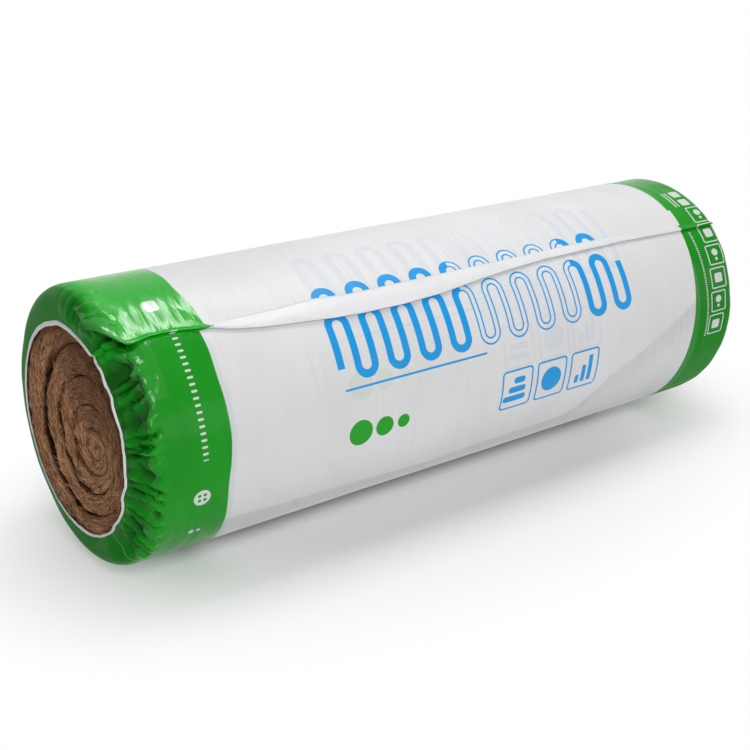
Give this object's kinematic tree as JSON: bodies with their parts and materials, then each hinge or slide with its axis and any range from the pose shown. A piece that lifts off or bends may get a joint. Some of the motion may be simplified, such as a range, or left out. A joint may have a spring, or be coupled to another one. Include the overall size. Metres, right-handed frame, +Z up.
{
  "type": "insulation roll",
  "caption": "Lying roll of brown mineral wool mat in a glossy white film wrap with green end bands, open collars and a loose tail edge, used as thermal insulation.",
  "frame": {"origin": "on the floor under the middle of the lying roll", "axes": "+X along the roll, from the end that the picture shows to the far end; -Y is the front, with the film's tail; +Z is up"},
  "size_m": [1.2062, 0.4202, 0.4202],
  "materials": {
    "wool": "matt, fibrous",
    "film": "glossy printed film"
  },
  "bodies": {
    "root": {"wool_roll": "wool", "film_wrap": "film"}
  },
  "joints": []
}
